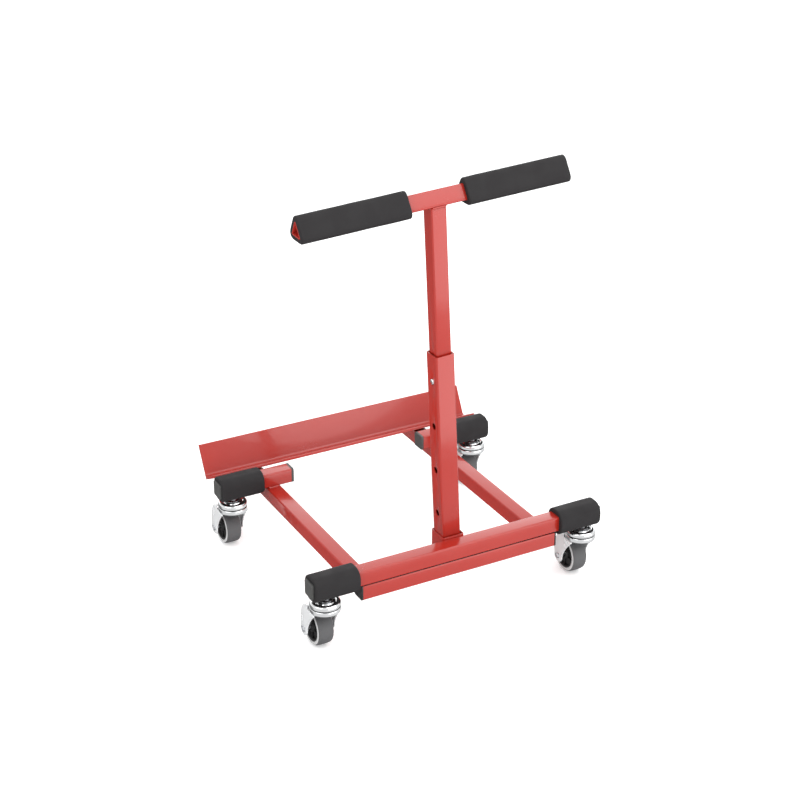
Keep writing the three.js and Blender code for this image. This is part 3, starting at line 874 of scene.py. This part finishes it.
def make_caster_heads():
    """The fixed raceway, its kingpin and its threaded stem, with the flanged nut on top."""
    centre = caster_centre(CORNERS[0])
    low, high = box_in("caster_head_front_left")
    nut_low, nut_high = box_in("stem_nut_front_left")
    radius = (high[Y] - low[Y]) / 2
    seam = box_in("caster_fork_front_left")[1][Z] + 0.6 * MM
    top = nut_low[Z] - 0.6 * MM
    stem = STEM_RADIUS
    profile = [(0, low[Z]), (7 * MM, low[Z]), (7 * MM, low[Z] + 2 * MM), (stem, low[Z] + 2 * MM)]
    profile += [(stem, seam + 1.5 * MM), (radius - 3 * MM, seam + 1.5 * MM), (radius - 2 * MM, seam)]
    profile += arc((radius - 2 * MM, seam + 2 * MM), 2 * MM, -90, 0, 6)
    profile += arc((radius - 4 * MM, top - 4 * MM), 4 * MM, 0, 90, 8)
    profile += [(radius - 6.5 * MM, top), (radius - 8 * MM, top - 1.2 * MM), (15.5 * MM, top - 1.2 * MM)]
    threaded_from = top + 12 * MM
    profile += [(14.5 * MM, top), (stem, top), (stem, threaded_from)]
    turns = int((high[Z] - top - 14 * MM) / (2 * THREAD))
    for i in range(turns):
        crest = threaded_from + 2 * i * THREAD
        profile += [(stem, crest), (stem - THREAD_DEPTH, crest + THREAD)]
    profile += [(stem - 0.6 * MM, high[Z]), (0, high[Z])]
    head = moved(turned("head", profile), Matrix.Translation(centre))
    copy_to_corners(head, "caster_race", "chrome", ["caster_head"])

    height = nut_high[Z] - nut_low[Z]
    washer = (nut_high[Y] - nut_low[Y]) / 2
    flange = [(5 * MM, 0), (washer - 0.6 * MM, 0), (washer, 0.6 * MM), (washer, 1.4 * MM)]
    flange += [(washer - 1.2 * MM, 2.2 * MM), (9 * MM, 3.2 * MM), (5 * MM, 3.2 * MM), (5 * MM, 0)]
    nut = turned("nut", flange)
    middle = (0, 0, 1 * MM + height / 2)
    hexagon = round_bar("hexagon", NUT_ACROSS / math.sqrt(3), height - 2 * MM, middle, sides=6)
    chamfer = [(0, -20 * MM), (20 * MM, -20 * MM), (20 * MM, height - 8 * MM)]
    chamfer += [(8.6 * MM, height - 0.4 * MM), (8.2 * MM, height), (0, height)]
    cone = turned("cone", chamfer)
    apply_modifier(hexagon, "BOOLEAN", operation="INTERSECT", object=cone, solver="EXACT")
    bpy.data.objects.remove(cone)
    cut(hexagon, round_bar("drill", 5 * MM, 0.1, (0, 0, 0)))
    soften(hexagon, 0.3 * MM)
    nut = joined(nut, hexagon)
    moved(nut, Matrix.Translation((centre[X], centre[Y], nut_low[Z])))
    copy_to_corners(nut, "flanged_nut", "zinc", ["stem_nut"])


def make_caster_forks():
    """The turning raceway with its pressed legs and cowl, and the riveted axle."""
    centre = caster_centre(CORNERS[0])
    low, high = box_in("caster_fork_front_left")
    head_low, head_high = box_in("caster_head_front_left")
    axle = Vector(joint("roll_front_left")["pos_m"])
    radius = (head_high[Y] - head_low[Y]) / 2
    top = high[Z]
    foot = top - 10.8 * MM
    tip = axle[Z] - low[Z]
    trail = axle[Y] - centre[Y]
    bore = 5.4 * MM
    web = top - 3.4 * MM
    skirt = radius - 4.8 * MM
    race = [(bore, web), (bore, top), (radius - 2.4 * MM, top)]
    race += arc((radius - 2.2 * MM, top - 2.2 * MM), 2.2 * MM, 90, 0, 6)
    race += arc((radius - 5 * MM, foot + 5 * MM), 5 * MM, 0, -80, 8)
    race += [(skirt, foot + 1.4 * MM), (skirt, web), (bore, web)]
    fork = turned("fork", race, 72)
    race_faces = len(fork.data.polygons)
    leg_top = foot + 2 * MM
    back = trail + tip
    thick = LEG_THICKNESS

    def cowl_line(inwards):
        """The fork's back edge, from the raceway down to the axle's height."""
        head = top - 1.2 * MM - inwards
        behind = back - inwards
        start = (COWL_START, head)
        bends = ((trail, head - 0.6 * MM), (behind, head - 12 * MM))
        return [start] + curve(start, *bends, (behind, axle[Z] + 8 * MM), 18)

    leg = [(COWL_START, leg_top), (LEG_FRONT, leg_top), (LEG_FRONT, leg_top - 2.5 * MM)]
    elbow = (-4 * MM, leg_top - 5 * MM)
    knee = (trail - tip - 3 * MM, axle[Z] + 16 * MM)
    leg += curve(leg[-1], elbow, knee, (trail - tip, axle[Z] + 2 * MM), 12)
    leg += arc((trail, axle[Z]), tip, 180, 360, 18)
    leg += reversed(cowl_line(0))
    half = (high[X] - low[X]) / 2
    for x in (-half, half - thick):
        side = plate("leg", leg, thick)
        soften(side, 0.9 * MM, 50, 4)
        moved(side, Matrix.Translation((x, 0, 0)))
        fork = joined(fork, side)
    clear = axle[Z] + COWL_END
    outer = [p for p in cowl_line(0) if p[1] > clear]
    inner = [p for p in cowl_line(thick) if p[1] > clear]
    cowl = plate("cowl", outer + inner[::-1], 2 * half - 0.4 * MM)
    soften(cowl, 0.6 * MM, 50, 3)
    moved(cowl, Matrix.Translation((0.2 * MM - half, 0, 0)))
    fork = joined(fork, cowl)
    moved(fork, Matrix.Translation(centre))
    fork["race_faces"] = race_faces
    looks = {"look": "pressed_chrome", "race_look": "chrome"}
    copy_to_corners(fork, "pressed_fork", "chrome", ["caster_fork"], **looks)

    axle_low, axle_high = box_in("axle_front_left")
    reach = (axle_high[X] - axle_low[X]) / 2
    face = half + 0.2 * MM
    head = [(4 * MM, face), (5.4 * MM, face)] + arc((4.2 * MM, face + 0.5 * MM), 1.2 * MM, 0, 90, 4)
    head += [(2.6 * MM, reach), (2.0 * MM, reach - 0.7 * MM), (0, reach - 0.9 * MM)]
    mirrored = [(r, -z) for r, z in reversed(head)]
    rivet = turned("rivet", mirrored + head, 40)
    turn = Matrix.Rotation(math.pi / 2, 4, "Y")
    moved(rivet, Matrix.Translation(axle) @ turn)
    copy_to_corners(rivet, "axle_rivet", "zinc", ["axle"])


def make_wheels():
    """Each wheel: a grey tread with round shoulders on a black ribbed hub."""
    axle = Vector(joint("roll_front_left")["pos_m"])
    place = Matrix.Translation(axle) @ Matrix.Rotation(math.pi / 2, 4, "Y")
    low, high = box_in("wheel_tread_front_left")
    radius = (high[Z] - low[Z]) / 2
    half = (high[X] - low[X]) / 2
    bore = radius - 7 * MM
    lip = 0.6 * MM
    side = [(bore, half - lip), (bore + 1.2 * MM, half - 0.1 * MM), (bore + 2.6 * MM, half)]
    shoulder = 4.2 * MM
    side += arc((radius - 0.5 * MM - shoulder, half - shoulder), shoulder, 90, 12, 9)
    side += [(radius - 0.2 * MM, half - 6.5 * MM), (radius, half - 10 * MM)]
    mirrored = [(r, -z) for r, z in reversed(side)]
    tread = turned("tread", side + mirrored + side[:1], 72)
    moved(tread, place)
    # The tread's side faces take the paler finish, which is painted light on them.
    copy_to_corners(tread, "rubber_tread", "wheel_tread", ["wheel_tread"], painted_light_side_look="tread_side")

    hub_low, hub_high = box_in("wheel_hub_front_left")
    hub_half = (hub_high[X] - hub_low[X]) / 2
    rim = (hub_high[Z] - hub_low[Z]) / 2
    bore = 5.2 * MM
    face = [(bore, hub_half), (8.2 * MM, hub_half), (9 * MM, hub_half - 0.8 * MM)]
    face += [(9.8 * MM, hub_half - 5 * MM), (rim - 3.4 * MM, hub_half - 5.6 * MM)]
    face += [(rim - 2.4 * MM, hub_half - 1.2 * MM), (rim - 1.6 * MM, hub_half - 0.6 * MM)]
    face += [(rim - 0.4 * MM, hub_half - 0.6 * MM), (rim, hub_half - 1 * MM)]
    mirrored = [(r, -z) for r, z in reversed(face)]
    hub = turned("hub", face + mirrored + face[:1], 72)
    for way in (-1, 1):
        for i in range(HUB_RIBS):
            rib_low = Vector((9.2 * MM, -0.9 * MM, hub_half - 5.8 * MM))
            rib_high = Vector((rim - 2.8 * MM, 0.9 * MM, hub_half - 2.6 * MM))
            rib = block("rib", rib_low, rib_high)
            soften(rib, 0.3 * MM)
            turn = Matrix.Rotation(2 * math.pi * i / HUB_RIBS, 4, "Z")
            flip = Matrix.Rotation(math.pi if way < 0 else 0, 4, "X")
            moved(rib, flip @ turn)
            hub = joined(hub, rib)
    moved(hub, place)
    copy_to_corners(hub, "moulded_hub", "wheel_hub", ["wheel_hub"])


# ---- socket, post and handle ----


def make_socket(sizes):
    """The socket behind the beams, with its drained floor."""
    low, high = box_in("post_socket")
    socket = square_tube("socket_tube", low, high, Z, sizes.socket_wall, 3 * MM)
    inset = Vector((sizes.socket_wall, sizes.socket_wall, 0))
    floor = block("socket_floor", low + inset, Vector((high[X], high[Y], low[Z] + 3 * MM)) - inset)
    cut(floor, round_bar("drill", 6 * MM, 0.02, ((low[X] + high[X]) / 2, (low[Y] + high[Y]) / 2, low[Z])))
    finished(joined(socket, floor), "red_paint", "post_socket")


def make_post(sizes):
    """The post, with its row of height holes down the left face."""
    low, high = box_in("post_tube", LEAN)
    button_low, button_high = box_in("snap_button", LEAN)
    centre = (button_low + button_high) / 2
    pitch = -joint("handle_slide")["range_m"][0] / 3
    holes = [Vector((low[X], centre[Y], centre[Z] - i * pitch)) for i in range(4)]
    post = square_tube("post_square_tube", low, high, Z, sizes.post_wall, 3 * MM, holes)
    finished(moved(post, LEAN.to_4x4()), "red_paint", "post_tube")


def make_handle(sizes):
    low, high = box_in("handle_tube", LEAN)
    button_low, button_high = box_in("snap_button", LEAN)
    centre = (button_low + button_high) / 2
    hole = Vector((low[X], centre[Y], centre[Z]))
    tube = square_tube("handle_square_tube", low, high, Z, sizes.socket_wall, sizes.tube_corner, [hole])
    finished(moved(tube, LEAN.to_4x4()), "red_paint", "handle_tube")


def make_snap_button():
    """The domed button in the post's top hole."""
    low, high = box_in("snap_button", LEAN)
    centre = (low + high) / 2
    depth = high[X] - low[X]
    stem = 4.8 * MM
    profile = [(0, 0), (5.4 * MM, 0), (5.6 * MM, 0.2 * MM), (5.6 * MM, 1 * MM), (stem, 1 * MM)]
    profile += arc((stem - 2.6 * MM, depth - 2.6 * MM), 2.6 * MM, 0, 80, 8)
    profile += [(0, depth)]
    button = turned("snap_button_dome", profile, 40)
    facing_left = Matrix.Rotation(-math.pi / 2, 4, "Y")
    moved(button, LEAN.to_4x4() @ Matrix.Translation((high[X], centre[Y], centre[Z])) @ facing_left)
    finished(button, "chrome", "snap_button", angle=25)


# ---- welds ----


def weld_bead(name, start, end, radius, body):
    """A bead of overlapping ripples between two points, half sunk into the metal."""
    run = end - start
    ripples = max(4, round(run.length / (1.6 * MM)))
    step = run.length / ripples
    profile = [(0, 0)]
    for i in range(ripples):
        profile += [(radius * 0.86, i * step + 0.1 * step), (radius, i * step + 0.6 * step)]
    profile += [(0, run.length)]
    bead = turned(name, profile, 14)
    turn = UP.rotation_difference(run).to_matrix().to_4x4()
    moved(bead, Matrix.Translation(start) @ turn)
    return finished(bead, "red_paint", body=body, angle=60)


def frame_beads():
    """Name, start and end of each bead where the frame's tubes meet and beside the socket."""
    inset = 3 * MM
    beads = []
    for side, way in zip(SIDES, (-1, 1)):
        low, high = box_in("side_rail_" + side)
        inner = low[X] if way > 0 else high[X]
        top = high[Z]
        bottom, end = low[Z] + 2 * MM, top - 2 * MM
        beads.append((f"rail_weld_{side}", Vector((inner, low[Y], bottom)), Vector((inner, low[Y], end))))
        stub_low, stub_high = box_in("rear_stub_" + side)
        angle_low, angle_high = box_in("rear_angle", TILT)
        corner = TILT @ Vector((0, angle_high[Y], angle_low[Z]))
        across = {"stub_weld_front": stub_low[Y], "stub_weld_back": stub_high[Y], "angle_weld": corner[Y]}
        for name, y in across.items():
            start = Vector((low[X] + inset, y, top))
            beads.append((f"{name}_{side}", start, Vector((high[X] - inset, y, top))))
    low, high = box_in("post_socket")
    end = box_in("front_beam_lower")[1][Z] + 20 * MM
    for side, x in zip(SIDES, (low[X], high[X])):
        beads.append((f"socket_weld_{side}", Vector((x, low[Y], low[Z] + inset)), Vector((x, low[Y], end))))
    return beads


def handle_beads():
    """Name, start and end of each bead round the handle tube, under the cross bar."""
    low, high = box_in("handle_tube", LEAN)
    inset = 2 * MM
    beads = []
    for place, y in (("front", low[Y]), ("back", high[Y])):
        start = Vector((low[X] + inset, y, high[Z]))
        beads.append(("bar_weld_" + place, LEAN @ start, LEAN @ Vector((high[X] - inset, y, high[Z]))))
    for side, x in zip(SIDES, (low[X], high[X])):
        start = Vector((x, low[Y] + inset, high[Z]))
        beads.append(("bar_weld_" + side, LEAN @ start, LEAN @ Vector((x, high[Y] - inset, high[Z]))))
    return beads


def make_welds(sizes):
    for name, start, end in frame_beads():
        weld_bead(name, start, end, sizes.weld_radius, "base")
    for name, start, end in handle_beads():
        weld_bead(name, start, end, sizes.weld_radius * 0.8, "handle")


def dress_carried_nodes():
    """Gives every node of the frame the finish of its slot."""
    slots = {part["node"]: part["material_slot"] for part in frame["record"]["subparts"]}
    for node, obj in frame["nodes"].items():
        for place in obj.material_slots:
            place.material = finish_of(slots[node])


# ---- stage ----

CAMERA_AZIMUTH = -28.25  # degrees, from straight in front towards the left
CAMERA_ELEVATION = 25.68
CAMERA_DISTANCE = 2.5465
CAMERA_TARGET = Vector((-0.1095, -0.2304, 0.4046))
CAMERA_LENS = 78.3  # mm, on a sensor 36 mm wide
FLOOR_SIDE = 60
FLOOR_GAP = 0.4 * MM  # floor below the wheels
ROOM_LIGHT = 0.78


def direction(azimuth, elevation):
    """Unit vector towards a place seen from the object: azimuth 0 is straight in front."""
    a, e = math.radians(azimuth), math.radians(elevation)
    return Vector((math.sin(a) * math.cos(e), -math.cos(a) * math.cos(e), math.sin(e)))


def aim(obj, target):
    obj.rotation_euler = (target - obj.location).to_track_quat("-Z", "Y").to_euler()


def add_camera():
    camera = bpy.data.cameras.new("camera")
    camera.lens = CAMERA_LENS
    camera.sensor_width = 36
    camera.clip_end = 50
    obj = bpy.data.objects.new("camera", camera)
    bpy.context.scene.collection.objects.link(obj)
    obj.location = CAMERA_TARGET + CAMERA_DISTANCE * direction(CAMERA_AZIMUTH, CAMERA_ELEVATION)
    aim(obj, CAMERA_TARGET)
    bpy.context.scene.camera = obj


def add_light(name, azimuth, elevation, distance, size, power):
    light = bpy.data.lights.new(name, "AREA")
    light.shape = "DISK"
    light.size = size
    light.energy = power
    obj = bpy.data.objects.new(name, light)
    bpy.context.scene.collection.objects.link(obj)
    middle = Vector((0, 0, 0.3))
    obj.location = middle + distance * direction(azimuth, elevation)
    aim(obj, middle)


def add_floor():
    """A wide pale floor. Glossy surfaces see the pale room instead of it."""
    bpy.ops.object.select_all(action="DESELECT")
    bpy.ops.mesh.primitive_plane_add(size=FLOOR_SIDE, location=(0, 0, CAD_BOX[0][Z] - FLOOR_GAP))
    floor = started("studio_floor")
    with editing(floor):
        bpy.ops.mesh.select_all(action="SELECT")
        bpy.ops.mesh.subdivide(number_cuts=4)
    floor.data.materials.append(finish_of("floor"))
    floor.visible_glossy = False


def add_world():
    """A pale room: bright high at the back right, and darker low at the back left.

    What is below the horizon shows only in reflections.
    """
    world = bpy.data.worlds.new("studio")
    bpy.context.scene.world = world
    nodes = Nodes(world)
    towards = nodes.add("ShaderNodeTexCoord").output("Generated")

    def facing(azimuth, elevation):
        return nodes.along(towards, direction(azimuth, elevation))

    height = nodes.along(towards, UP)
    glow = facing(152, 26).ramp(0.6, 0.95) * 1.0
    front = facing(28, -26).ramp(0.6, 0.95) * 0.1
    window = facing(28, -16).ramp(0.8, 0.95) * height.ramp(-0.43, -0.36) * 1.9
    dark = facing(-152, -24).ramp(0.76, 0.95) * height.ramp(-0.16, -0.06, 1.0, 0.0)
    backdrop = height.ramp(-0.04, -0.01) * height.ramp(0.2, 0.6, 0.25, 0.0)
    under = height.ramp(-0.9, -0.72, 0.85, 0.0)
    level = (ROOM_LIGHT + glow + front + window + backdrop) * (1 - 0.72 * dark) * (1 - under)
    background = nodes.add("ShaderNodeBackground", None, {"Color": (1, 1, 1, 1), "Strength": level})
    nodes.add("ShaderNodeOutputWorld", None, {"Surface": background.output("Background")})


def make_stage():
    add_camera()
    add_floor()
    add_world()
    add_light("key", 38, 56, 3.0, 3.0, 50)
    add_light("fill", -72, 40, 3.0, 2.4, 24)
    bpy.context.scene.view_settings.view_transform = "Standard"


# ---- operators ----


class DOLLY_OT_frame_tubes(bpy.types.Operator):
    """Makes the beams, the side rails and the rear stubs"""

    bl_idname = "dolly.frame_tubes"
    bl_label = "Frame tubes"

    def execute(self, context):
        make_frame_tubes(context.scene.dolly_sizes)
        return {"FINISHED"}


class DOLLY_OT_angle_iron(bpy.types.Operator):
    """Makes the rear angle iron"""

    bl_idname = "dolly.angle_iron"
    bl_label = "Angle iron"

    def execute(self, context):
        make_angle_iron(context.scene.dolly_sizes)
        return {"FINISHED"}


class DOLLY_OT_plugs(bpy.types.Operator):
    """Makes the square plugs in the tube ends"""

    bl_idname = "dolly.plugs"
    bl_label = "Plugs"

    def execute(self, context):
        make_plugs(context.scene.dolly_sizes)
        return {"FINISHED"}


class DOLLY_OT_foam_sleeves(bpy.types.Operator):
    """Makes the four foam sleeves on the frame"""

    bl_idname = "dolly.foam_sleeves"
    bl_label = "Foam sleeves"

    def execute(self, context):
        make_foam_sleeves(context.scene.dolly_sizes)
        return {"FINISHED"}


class DOLLY_OT_caster_heads(bpy.types.Operator):
    """Makes the fixed raceways, their stems and their nuts"""

    bl_idname = "dolly.caster_heads"
    bl_label = "Caster heads"

    def execute(self, context):
        make_caster_heads()
        return {"FINISHED"}


class DOLLY_OT_caster_forks(bpy.types.Operator):
    """Makes the pressed forks and their axle rivets"""

    bl_idname = "dolly.caster_forks"
    bl_label = "Caster forks"

    def execute(self, context):
        make_caster_forks()
        return {"FINISHED"}


class DOLLY_OT_wheels(bpy.types.Operator):
    """Makes the wheel treads and hubs"""

    bl_idname = "dolly.wheels"
    bl_label = "Wheels"

    def execute(self, context):
        make_wheels()
        return {"FINISHED"}


class DOLLY_OT_socket(bpy.types.Operator):
    """Makes the socket behind the front beams"""

    bl_idname = "dolly.socket"
    bl_label = "Socket"

    def execute(self, context):
        make_socket(context.scene.dolly_sizes)
        return {"FINISHED"}


class DOLLY_OT_post(bpy.types.Operator):
    """Makes the post with its height holes"""

    bl_idname = "dolly.post"
    bl_label = "Post"

    def execute(self, context):
        make_post(context.scene.dolly_sizes)
        return {"FINISHED"}


class DOLLY_OT_handle(bpy.types.Operator):
    """Makes the handle tube that slides in the post"""

    bl_idname = "dolly.handle"
    bl_label = "Handle tube"

    def execute(self, context):
        make_handle(context.scene.dolly_sizes)
        return {"FINISHED"}


class DOLLY_OT_cross_bar(bpy.types.Operator):
    """Makes the triangular cross bar and its foam grips"""

    bl_idname = "dolly.cross_bar"
    bl_label = "Cross bar"

    def execute(self, context):
        make_cross_bar(context.scene.dolly_sizes)
        return {"FINISHED"}


class DOLLY_OT_snap_button(bpy.types.Operator):
    """Makes the domed snap button"""

    bl_idname = "dolly.snap_button"
    bl_label = "Snap button"

    def execute(self, context):
        make_snap_button()
        return {"FINISHED"}


class DOLLY_OT_welds(bpy.types.Operator):
    """Makes the weld beads"""

    bl_idname = "dolly.welds"
    bl_label = "Welds"

    def execute(self, context):
        make_welds(context.scene.dolly_sizes)
        return {"FINISHED"}


class DOLLY_OT_carried_nodes(bpy.types.Operator):
    """Gives the nodes that are kept from the frame their finishes"""

    bl_idname = "dolly.carried_nodes"
    bl_label = "Kept nodes"

    def execute(self, context):
        dress_carried_nodes()
        return {"FINISHED"}


class DOLLY_OT_stage(bpy.types.Operator):
    """Makes the floor, the studio light and the camera"""

    bl_idname = "dolly.stage"
    bl_label = "Stage"

    def execute(self, context):
        make_stage()
        return {"FINISHED"}


OPERATORS = (
    DOLLY_OT_stage,
    DOLLY_OT_frame_tubes,
    DOLLY_OT_angle_iron,
    DOLLY_OT_plugs,
    DOLLY_OT_foam_sleeves,
    DOLLY_OT_caster_heads,
    DOLLY_OT_caster_forks,
    DOLLY_OT_wheels,
    DOLLY_OT_socket,
    DOLLY_OT_post,
    DOLLY_OT_handle,
    DOLLY_OT_cross_bar,
    DOLLY_OT_snap_button,
    DOLLY_OT_welds,
    DOLLY_OT_carried_nodes,
)


class DOLLY_PT_pieces(bpy.types.Panel):
    """The dolly's pieces and their sizes and colours"""

    bl_idname = "DOLLY_PT_pieces"
    bl_label = "Wheel dolly"
    bl_space_type = "VIEW_3D"
    bl_region_type = "UI"
    bl_category = "Dolly"

    def draw(self, context):
        for group in (context.scene.dolly_sizes, context.scene.dolly_colours):
            for name in group.__annotations__:
                self.layout.prop(group, name)
        for operator in OPERATORS:
            self.layout.operator(operator.bl_idname)


CLASSES = (DollySizes, DollyColours, *OPERATORS, DOLLY_PT_pieces)


def register():
    for cls in CLASSES:
        bpy.utils.register_class(cls)
    bpy.types.Scene.dolly_sizes = bpy.props.PointerProperty(type=DollySizes)
    bpy.types.Scene.dolly_colours = bpy.props.PointerProperty(type=DollyColours)


def unregister():
    del bpy.types.Scene.dolly_colours
    del bpy.types.Scene.dolly_sizes
    for cls in reversed(CLASSES):
        bpy.utils.unregister_class(cls)


def main():
    register()
    for operator in OPERATORS:
        group, name = operator.bl_idname.split(".")
        getattr(getattr(bpy.ops, group), name)()


if __name__ == "__main__":
    main()
